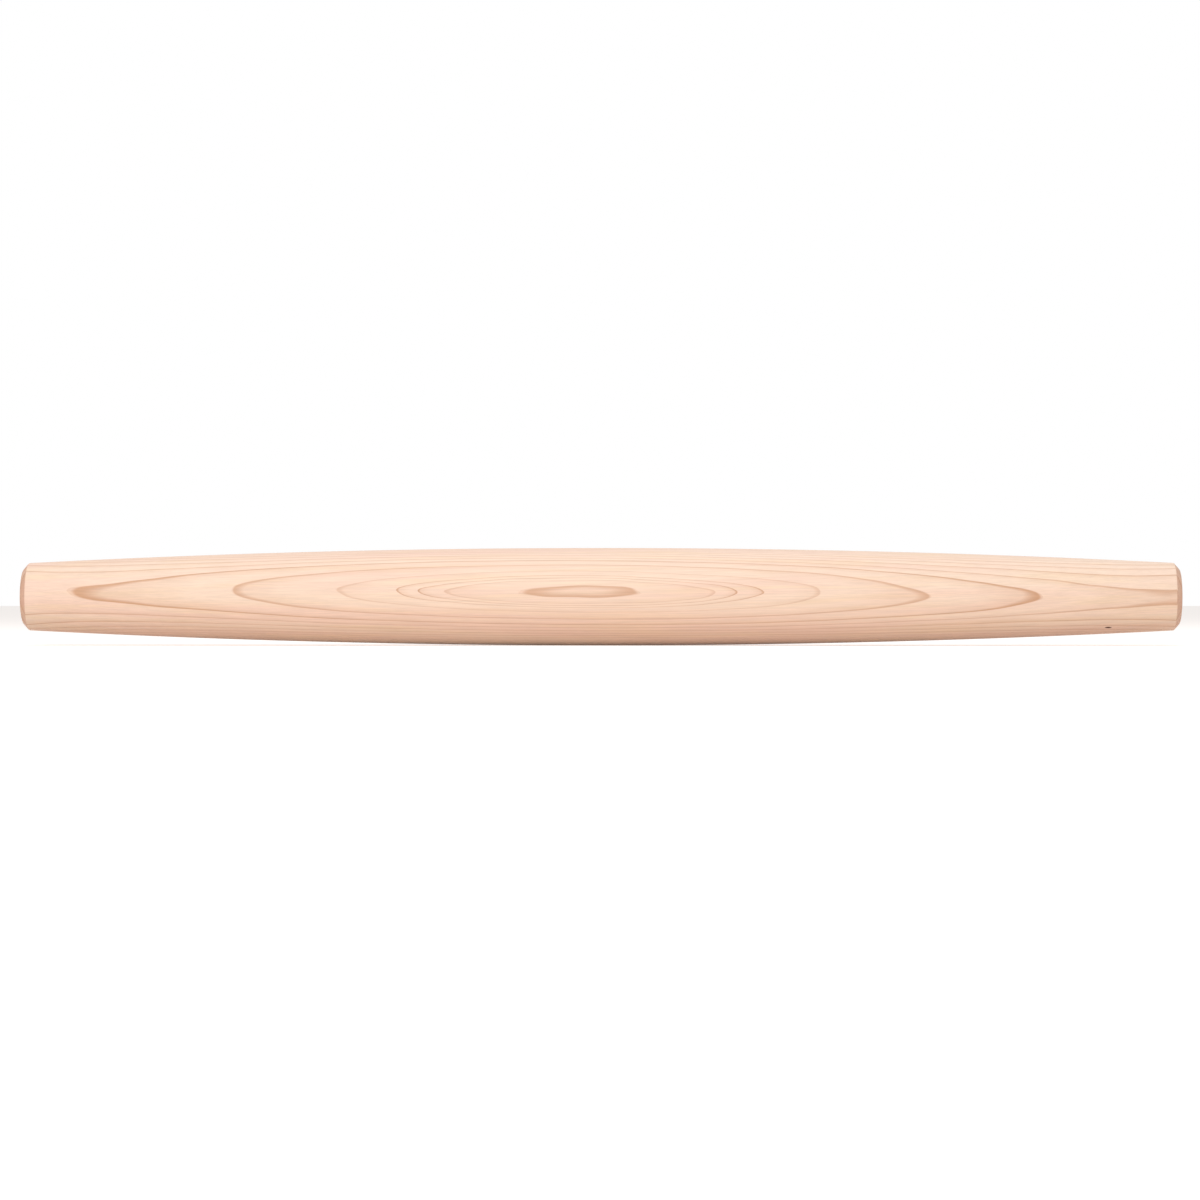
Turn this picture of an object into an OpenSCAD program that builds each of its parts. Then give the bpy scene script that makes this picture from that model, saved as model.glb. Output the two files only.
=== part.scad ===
/* [Barrel] */
// Overall length, from one flat end face to the other
pin_length = 520.7; // [380:0.1:640]
// Diameter at the middle, where the barrel is thickest
belly_d = 43.9; // [38:0.1:56]
// Diameter at each end, where the barrel would meet the chamfer if that edge were sharp
end_d = 30.4; // [24:0.1:36]

/* [Ends] */
// Length of each end chamfer, measured along the pin
chamfer_length = 2.6; // [1.8:0.1:6]
// Depth of each end chamfer, measured across the pin
chamfer_depth = 3; // [1.8:0.1:6]
// Radius that softens the edge between the barrel and the chamfer
shoulder_r = 0.8; // [0.4:0.1:2]
// Radius that softens the edge between the chamfer and the flat end face
rim_r = 1.2; // [0.4:0.1:2]

/* [Hidden] */

half_length = pin_length / 2;
belly_r = belly_d / 2;
end_r = end_d / 2;
face_r = end_r - chamfer_depth;
shoulder_y = half_length - chamfer_length;

// The barrel's outline is one long arc through both shoulders, with its crown at the belly
swell = belly_r - end_r;
barrel_r = (shoulder_y * shoulder_y + swell * swell) / (2 * swell);

// Directions of the outline at one end, in degrees, as it runs from the axis to the belly
face_angle = 0;
chamfer_angle = -atan2(chamfer_length, chamfer_depth);
barrel_angle = -90 + asin(shoulder_y / barrel_r);

// Number of chords along the barrel's arc, and along each softened edge
barrel_steps = 48;
edge_steps = 6;

// Radius of the barrel at a distance y from the middle of the pin
function barrel_radius(y) = belly_r - barrel_r + sqrt(barrel_r * barrel_r - y * y);

// Points that round the corner at [x, y], where the outline turns from direction a to direction b
function rounded(x, y, r, a, b) =
    let (
        reach = r * tan((a - b) / 2),
        centre_x = x - reach * cos(a) + r * sin(a),
        centre_y = y - reach * sin(a) - r * cos(a)
    )
    [for (i = [0 : edge_steps])
        let (t = a + (b - a) * i / edge_steps)
        [centre_x - r * sin(t), centre_y + r * cos(t)]];

// One end's outline, from the turning axis out to the barrel
end_outline = concat(
    [[0, half_length]],
    rounded(face_r, half_length, rim_r, face_angle, chamfer_angle),
    rounded(end_r, shoulder_y, shoulder_r, chamfer_angle, barrel_angle)
);

// The other end's outline, from the barrel back to the axis
far_outline = [for (i = [len(end_outline) - 1 : -1 : 0]) [end_outline[i][0], -end_outline[i][1]]];

// The barrel's outline, between the two softened shoulders
barrel_outline = [for (i = [1 : barrel_steps - 1])
    let (y = shoulder_y * (1 - 2 * i / barrel_steps))
    [barrel_radius(y), y]];

// Half of the pin's long section, which lies against the turning axis
module half_section() {
    polygon(concat(end_outline, barrel_outline, far_outline));
}

// The pin, turned about the X axis
module rolling_pin() {
    color("#f0d2b8")
        rotate([0, 90, 0])
            rotate_extrude($fn = 128)
                half_section();
}

rolling_pin();
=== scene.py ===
from math import asin, atan2, cos, pi, radians, sin, sqrt, tan

import bmesh
import bpy
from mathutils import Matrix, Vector


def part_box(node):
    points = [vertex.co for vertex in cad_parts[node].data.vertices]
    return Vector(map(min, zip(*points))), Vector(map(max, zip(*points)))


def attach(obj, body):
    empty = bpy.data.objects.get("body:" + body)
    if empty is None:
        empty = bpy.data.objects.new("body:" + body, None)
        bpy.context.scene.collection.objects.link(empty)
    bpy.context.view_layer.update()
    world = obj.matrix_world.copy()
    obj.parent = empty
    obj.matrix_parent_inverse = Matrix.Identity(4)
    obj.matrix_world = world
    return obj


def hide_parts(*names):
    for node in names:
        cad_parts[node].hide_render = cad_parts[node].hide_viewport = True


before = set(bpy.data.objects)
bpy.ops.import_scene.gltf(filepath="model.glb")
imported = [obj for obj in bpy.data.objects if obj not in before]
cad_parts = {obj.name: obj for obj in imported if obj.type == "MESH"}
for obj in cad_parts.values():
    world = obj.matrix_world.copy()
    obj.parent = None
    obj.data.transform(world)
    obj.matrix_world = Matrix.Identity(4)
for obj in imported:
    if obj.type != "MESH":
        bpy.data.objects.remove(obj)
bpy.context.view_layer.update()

# The pin is one length of hard maple, turned between centres and sanded, then left bare.
# The barrel is one long arc that swells to the middle. Each end is cut square and
# chamfered, and sandpaper has softened both edges of the chamfer.
pin_low, pin_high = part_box("rolling_pin")
half_length = pin_high[0]
belly_radius = pin_high[2]
end_radius = 0.0152
chamfer_length = 0.0026
chamfer_depth = 0.003
shoulder_softening = 0.0008
rim_softening = 0.0012

shoulder_x = half_length - chamfer_length
face_radius = end_radius - chamfer_depth
swell = belly_radius - end_radius
barrel_arc = (shoulder_x**2 + swell**2) / (2 * swell)


def barrel_radius(x):
    """The barrel's radius at a distance x from the middle."""
    return belly_radius - barrel_arc + sqrt(barrel_arc**2 - x**2)


def softened(x, r, softening, before, after, steps=8):
    """Points (x, r) that round the corner where the outline turns from one direction to another."""
    reach = softening * tan((before - after) / 2)
    centre_r = r - reach * cos(before) + softening * sin(before)
    centre_x = x - reach * sin(before) - softening * cos(before)
    turns = [before + (after - before) * i / steps for i in range(steps + 1)]
    return [(centre_x + softening * cos(t), centre_r - softening * sin(t)) for t in turns]


def pin_outline(stations=96):
    """Points (x, r) along the whole turned outline, from the left face to the right one."""
    across = 0.0
    down = -atan2(chamfer_length, chamfer_depth)
    along = -pi / 2 + asin(shoulder_x / barrel_arc)
    end = [(half_length, face_radius * part) for part in (0.3, 0.6, 0.85)]
    end += softened(half_length, face_radius, rim_softening, across, down)
    end += softened(shoulder_x, end_radius, shoulder_softening, down, along)
    places = [shoulder_x * (1 - 2 * i / stations) for i in range(1, stations)]
    barrel = [(x, barrel_radius(x)) for x in places]
    far_end = [(-x, r) for x, r in reversed(end)]
    return (end + barrel + far_end)[::-1]


def turned_pin(name, around=192):
    """A lathe-turned solid about X, unrolled on its UV map.

    The barrel fills the map's width and most of its height. Each flat face is a small
    disc in the strip below it. The barrel's seam runs along the top.
    """
    mesh = bpy.data.meshes.new(name)
    shape = bmesh.new()
    unrolled = shape.loops.layers.uv.new("OFBake")
    outline = pin_outline()
    turns = [2 * pi * i / around for i in range(around)]
    rings = [[shape.verts.new((x, r * sin(t), r * cos(t))) for t in turns] for x, r in outline]
    last = len(rings) - 1
    left_middle = shape.verts.new((outline[0][0], 0, 0))
    right_middle = shape.verts.new((outline[-1][0], 0, 0))

    travelled = [0.0]
    for (x0, r0), (x1, r1) in zip(outline, outline[1:]):
        travelled.append(travelled[-1] + sqrt((x1 - x0) ** 2 + (r1 - r0) ** 2))
    face_rings = 2
    barrel_start = travelled[face_rings]
    barrel_run = travelled[last - face_rings] - barrel_start
    strip = 0.1
    disc_u = 0.22
    disc_v = 0.45 * strip

    def on_barrel(ring, turn):
        """Where a point of the barrel lies on the map."""
        return ((travelled[ring] - barrel_start) / barrel_run, strip + (1 - strip) * turn / around)

    def on_disc(ring, turn):
        """Where a point of a flat face lies on the map."""
        middle_u = 0.25 if ring < last / 2 else 0.75
        r = outline[ring][1] / face_radius
        angle = 2 * pi * turn / around
        return (middle_u + disc_u * r * cos(angle), strip / 2 + disc_v * r * sin(angle))

    for ring in range(last):
        on_map = on_disc if ring < face_rings or ring >= last - face_rings else on_barrel
        for turn in range(around):
            after = (turn + 1) % around
            corners = [rings[ring][turn], rings[ring][after], rings[ring + 1][after], rings[ring + 1][turn]]
            face = shape.faces.new(corners)
            spots = [(ring, turn), (ring, turn + 1), (ring + 1, turn + 1), (ring + 1, turn)]
            for loop, spot in zip(face.loops, spots):
                loop[unrolled].uv = on_map(*spot)
            face.smooth = True
    for middle, ring, middle_u in ((left_middle, 0, 0.25), (right_middle, last, 0.75)):
        for turn in range(around):
            face = shape.faces.new([middle, rings[ring][(turn + 1) % around], rings[ring][turn]])
            face.loops[0][unrolled].uv = (middle_u, strip / 2)
            face.loops[1][unrolled].uv = on_disc(ring, turn + 1)
            face.loops[2][unrolled].uv = on_disc(ring, turn)
            face.smooth = True
    bmesh.ops.recalc_face_normals(shape, faces=shape.faces)
    shape.to_mesh(mesh)
    shape.free()
    turned = bpy.data.objects.new(name, mesh)
    bpy.context.scene.collection.objects.link(turned)
    return turned


def linear(hex_colour):
    """An sRGB hex colour as linear RGBA."""
    parts = [int(hex_colour[i:i + 2], 16) / 255 for i in (1, 3, 5)]
    return [p / 12.92 if p <= 0.04045 else ((p + 0.055) / 1.055) ** 2.4 for p in parts] + [1.0]


def add(tree, kind, sockets=None, **settings):
    """Adds a node, applies its settings, and gives its sockets values or links."""
    made = tree.nodes.new(kind)
    for name, value in settings.items():
        setattr(made, name, value)
    for socket, value in (sockets or {}).items():
        if isinstance(value, bpy.types.NodeSocket):
            tree.links.new(value, made.inputs[socket])
        else:
            made.inputs[socket].default_value = value
    return made


# Bare hard maple gives the eye a pale, satin, faintly figured surface. Its growth rings
# are cylinders about a pith line behind the pin, drawn in millimetres. The barrel cuts
# them nearly flat in front, which draws nested ovals, and the ends show their arcs.
def sanded_maple():
    """The pin's one material."""
    material = bpy.data.materials.new("sanded_maple")
    material.use_nodes = True
    tree = material.node_tree
    tree.nodes.clear()

    def maths(operation, first, second=0.0, third=0.0):
        """The result of one sum."""
        sockets = {0: first, 1: second, 2: third}
        return add(tree, "ShaderNodeMath", sockets, operation=operation).outputs[0]

    def vector_maths(operation, first, second):
        """The vector that one sum gives."""
        sockets = {0: first, 1: second}
        return add(tree, "ShaderNodeVectorMath", sockets, operation=operation).outputs[0]

    def grain(mm, detail=2.0):
        """Noise from 0 to 1 whose features are mm long along, across and round the rings."""
        steps = vector_maths("MULTIPLY", log_place, [1 / m for m in mm])
        sockets = {"Vector": steps, "Scale": 1.0, "Detail": detail, "Roughness": 0.5}
        return add(tree, "ShaderNodeTexNoise", sockets, noise_dimensions="3D").outputs["Fac"]

    def blend(share, first, second, kind="MIX"):
        """One colour changed towards another by a share from 0 to 1."""
        sockets = {0: share, 6: first, 7: second}
        return add(tree, "ShaderNodeMix", sockets, data_type="RGBA", blend_type=kind).outputs[2]

    def spread(value, low, high, start=0.0, stop=1.0):
        """A value's stretch from low to high, mapped to start and stop with soft ends."""
        sockets = {"Value": value, "From Min": low, "From Max": high, "To Min": start, "To Max": stop}
        return add(tree, "ShaderNodeMapRange", sockets, interpolation_type="SMOOTHSTEP").outputs[0]

    # The pin's frame in millimetres: x along it, y away from the photographed side, z up.
    metres = add(tree, "ShaderNodeTexCoord").outputs["Object"]
    place = vector_maths("MULTIPLY", metres, [1000.0, 1000.0, 1000.0])
    x, y, z = add(tree, "ShaderNodeSeparateXYZ", {0: place}).outputs

    # The pith line runs 50 mm behind the axis, a little low, and rises towards the right end.
    pith_back = 50.0
    pith_low = -5.3
    pith_rise = 0.015
    pith_bow = 0.000053
    ring_radius = 70.0
    pith_z = maths("MULTIPLY_ADD", maths("MULTIPLY_ADD", x, pith_bow, pith_rise), x, pith_low)
    back = maths("SUBTRACT", y, pith_back)
    up = maths("SUBTRACT", z, pith_z)
    from_pith = maths("POWER", maths("ADD", maths("MULTIPLY", back, back), maths("MULTIPLY", up, up)), 0.5)
    depth = maths("SUBTRACT", pith_back + 1000 * belly_radius, from_pith)
    round_pith = maths("MULTIPLY", maths("ARCTAN2", up, maths("MULTIPLY", back, -1.0)), ring_radius)
    log_place = add(tree, "ShaderNodeCombineXYZ", {0: x, 1: depth, 2: round_pith}).outputs[0]

    # The trunk tapered, so the rings lie deeper towards both ends, and are thinner there.
    taper = maths("MULTIPLY", maths("MULTIPLY_ADD", x, 0.000028, 0.00035), x)
    thinning = maths("MULTIPLY_ADD", maths("MULTIPLY_ADD", x, -0.0000101, 0.00014), x, 1.0)
    waver = maths("MULTIPLY", maths("SUBTRACT", grain((70, 12, 12)), 0.5), 0.5)
    ring_depth = maths("ADD", maths("MULTIPLY_ADD", depth, thinning, taper), waver)

    # Where the outer latewood lines lie below the front of the belly. Deeper ones come yearly.
    lines_mm = [-0.16, 0.16, 0.34, 0.56, 1.17, 2.4, 3.65, 4.55]
    first_mm = -1.0
    last_mm = lines_mm[-1]
    yearly_mm = 1.05
    curve = add(tree, "ShaderNodeFloatCurve")
    line = curve.mapping.curves[0]
    range_mm = last_mm - first_mm
    points = [((mm - first_mm) / range_mm, (i + 1) / len(lines_mm)) for i, mm in enumerate(lines_mm)]
    line.points[0].location = (0.0, 0.0)
    line.points[1].location = points[-1]
    for point in points[:-1]:
        line.points.new(*point)
    for point in line.points:
        point.handle_type = "VECTOR"
    curve.mapping.update()
    span = maths("DIVIDE", maths("SUBTRACT", ring_depth, first_mm), range_mm)
    within = add(tree, "ShaderNodeClamp", {0: span}).outputs[0]
    tree.links.new(within, curve.inputs["Value"])
    outer = maths("MULTIPLY", curve.outputs[0], float(len(lines_mm)))
    deeper = maths("DIVIDE", maths("MAXIMUM", maths("SUBTRACT", ring_depth, last_mm), 0.0), yearly_mm)
    years = maths("ADD", outer, deeper)
    season = maths("FRACT", years)
    year = maths("FLOOR", years)
    vigour = add(tree, "ShaderNodeTexWhiteNoise", {"W": year}, noise_dimensions="1D").outputs["Value"]
    autumn = maths("MULTIPLY", spread(season, 0.80, 0.97), spread(season, 0.97, 1.0, 1.0, 0.0))
    summer = maths("MULTIPLY", spread(season, 0.35, 1.0), 0.28)
    latewood = maths("MULTIPLY", maths("MAXIMUM", autumn, summer), spread(vigour, 0.0, 1.0, 0.45, 1.0))

    # Cream wood with rosy and straw patches, tan latewood, and fine streaks along the grain.
    wood = blend(spread(grain((150, 9, 9)), 0.35, 0.65), linear("#F8DEC9"), linear("#F6D6C3"))
    straw = maths("MULTIPLY", spread(grain((60, 3, 3)), 0.45, 0.7), 0.35)
    wood = blend(straw, wood, linear("#F5D8B4"))
    wood = blend(latewood, wood, linear("#D2A483"))
    streak = spread(grain((34, 0.5, 0.5), detail=3.0), 0.3, 0.7, 0.94, 1.03)
    fibre = spread(grain((7, 0.16, 0.16)), 0.25, 0.75, 0.965, 1.03)
    shade = maths("MULTIPLY", streak, fibre)
    grey = add(tree, "ShaderNodeCombineColor", {0: shade, 1: shade, 2: shade}).outputs[0]
    wood = blend(1.0, wood, grey, "MULTIPLY")

    # The cut ends look darker and browner, because open pores there swallow the light.
    facing = add(tree, "ShaderNodeTexCoord").outputs["Normal"]
    facing_x = add(tree, "ShaderNodeSeparateXYZ", {0: facing}).outputs[0]
    end_grain = spread(maths("ABSOLUTE", facing_x), 0.25, 0.75)
    wood = blend(maths("MULTIPLY", end_grain, 0.75), wood, blend(1.0, wood, linear("#DDC3B4"), "MULTIPLY"))

    # One small dark mineral fleck lies low on the right, in line with the grain.
    fleck_place = (227.5, -9.4, -13.8)
    fleck_reach = (1.7, 1.2, 0.42)
    away = vector_maths("DIVIDE", vector_maths("SUBTRACT", place, fleck_place), fleck_reach)
    how_far = add(tree, "ShaderNodeVectorMath", {0: away}, operation="LENGTH").outputs["Value"]
    wood = blend(spread(how_far, 0.6, 1.1, 1.0, 0.0), wood, linear("#54301B"))

    # Fine sanding leaves a satin sheen that the fibres break up.
    roughness = spread(grain((12, 0.3, 0.3)), 0.2, 0.8, 0.46, 0.6)
    bump = add(tree, "ShaderNodeBump", {"Height": fibre, "Strength": 0.25, "Distance": 0.00006}).outputs[0]
    sockets = {"Base Color": wood, "Roughness": roughness, "IOR": 1.45, "Normal": bump}
    surface = add(tree, "ShaderNodeBsdfPrincipled", sockets).outputs[0]
    add(tree, "ShaderNodeOutputMaterial", {"Surface": surface})
    return material


pin = turned_pin("turned_pin")
pin.data.materials.append(sanded_maple())
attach(pin, "root")
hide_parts("rolling_pin")


# The worktop is a plain matt white sheet that runs on past the camera's view. It glows a
# little for the camera and for reflections, so that it reads as white and keeps the shadow.
def white_sheet():
    """The sheet's material."""
    material = bpy.data.materials.new("white_sheet")
    material.use_nodes = True
    tree = material.node_tree
    tree.nodes.clear()
    rays = add(tree, "ShaderNodeLightPath").outputs
    sockets = {0: rays["Is Camera Ray"], 1: rays["Is Glossy Ray"]}
    seen = add(tree, "ShaderNodeMath", sockets, operation="MAXIMUM").outputs[0]
    matt = add(tree, "ShaderNodeBsdfDiffuse", {"Color": linear("#F2EAE4")}).outputs[0]
    glow = add(tree, "ShaderNodeEmission", {"Color": linear("#FFFFFF"), "Strength": 0.4}).outputs[0]
    lit = add(tree, "ShaderNodeAddShader", {0: matt, 1: glow}).outputs[0]
    surface = add(tree, "ShaderNodeMixShader", {0: seen, 1: matt, 2: lit}).outputs[0]
    add(tree, "ShaderNodeOutputMaterial", {"Surface": surface})
    return material


reach = 12.0
floor_z = pin_low[2]
corners = [(x * reach, y * reach, floor_z) for x, y in ((-1, -1), (1, -1), (1, 1), (-1, 1))]
sheet_mesh = bpy.data.meshes.new("white_sheet")
sheet_mesh.from_pydata(corners, [], [(0, 1, 2, 3)])
sheet_mesh.materials.append(white_sheet())
sheet = bpy.data.objects.new("white_sheet", sheet_mesh)
bpy.context.scene.collection.objects.link(sheet)


# Studio light: a large warm softbox in front and above, a weaker cool one overhead, and
# a white room all round that fills the shadows.
def softbox(name, place, size, watts, colour):
    """A square area lamp that faces the pin."""
    lamp = bpy.data.lights.new(name, "AREA")
    lamp.shape = "SQUARE"
    lamp.size = size
    lamp.energy = watts
    lamp.color = linear(colour)[:3]
    box = bpy.data.objects.new(name, lamp)
    box.location = place
    box.rotation_euler = (-Vector(place)).to_track_quat("-Z", "Y").to_euler()
    bpy.context.scene.collection.objects.link(box)


softbox("key_softbox", place=(-0.3, -1.6, 1.1), size=1.4, watts=18.0, colour="#FFFAF5")
softbox("top_softbox", place=(0.2, 0.3, 1.6), size=1.2, watts=6.0, colour="#F4F7FF")

world = bpy.data.worlds.new("white_room")
world.use_nodes = True
room = world.node_tree
room.nodes.clear()
rays = add(room, "ShaderNodeLightPath").outputs
sockets = {0: rays["Is Camera Ray"], 1: rays["Is Glossy Ray"]}
seen = add(room, "ShaderNodeMath", sockets, operation="MAXIMUM").outputs[0]
fill = add(room, "ShaderNodeBackground", {"Color": linear("#FFFFFF"), "Strength": 0.55}).outputs[0]
white = add(room, "ShaderNodeBackground", {"Color": linear("#FFFFFF"), "Strength": 1.0}).outputs[0]
walls = add(room, "ShaderNodeMixShader", {0: seen, 1: fill, 2: white}).outputs[0]
add(room, "ShaderNodeOutputWorld", {"Surface": walls})
bpy.context.scene.world = world

# The camera stands 1.8 m away, level with the pin and very slightly to its right. The
# picture is square and 540.8 mm wide where the pin lies.
camera_distance = 1.8
camera_turn = radians(1.1)
camera_z = -0.0015
picture_width = 0.5408
lens = bpy.data.cameras.new("camera")
lens.sensor_width = 36.0
lens.lens = lens.sensor_width * camera_distance / picture_width
camera = bpy.data.objects.new("camera", lens)
camera.location = (camera_distance * sin(camera_turn), -camera_distance * cos(camera_turn), camera_z)
camera.rotation_euler = (pi / 2, 0.0, camera_turn)
bpy.context.scene.collection.objects.link(camera)
bpy.context.scene.camera = camera
bpy.context.scene.view_settings.view_transform = "Standard"
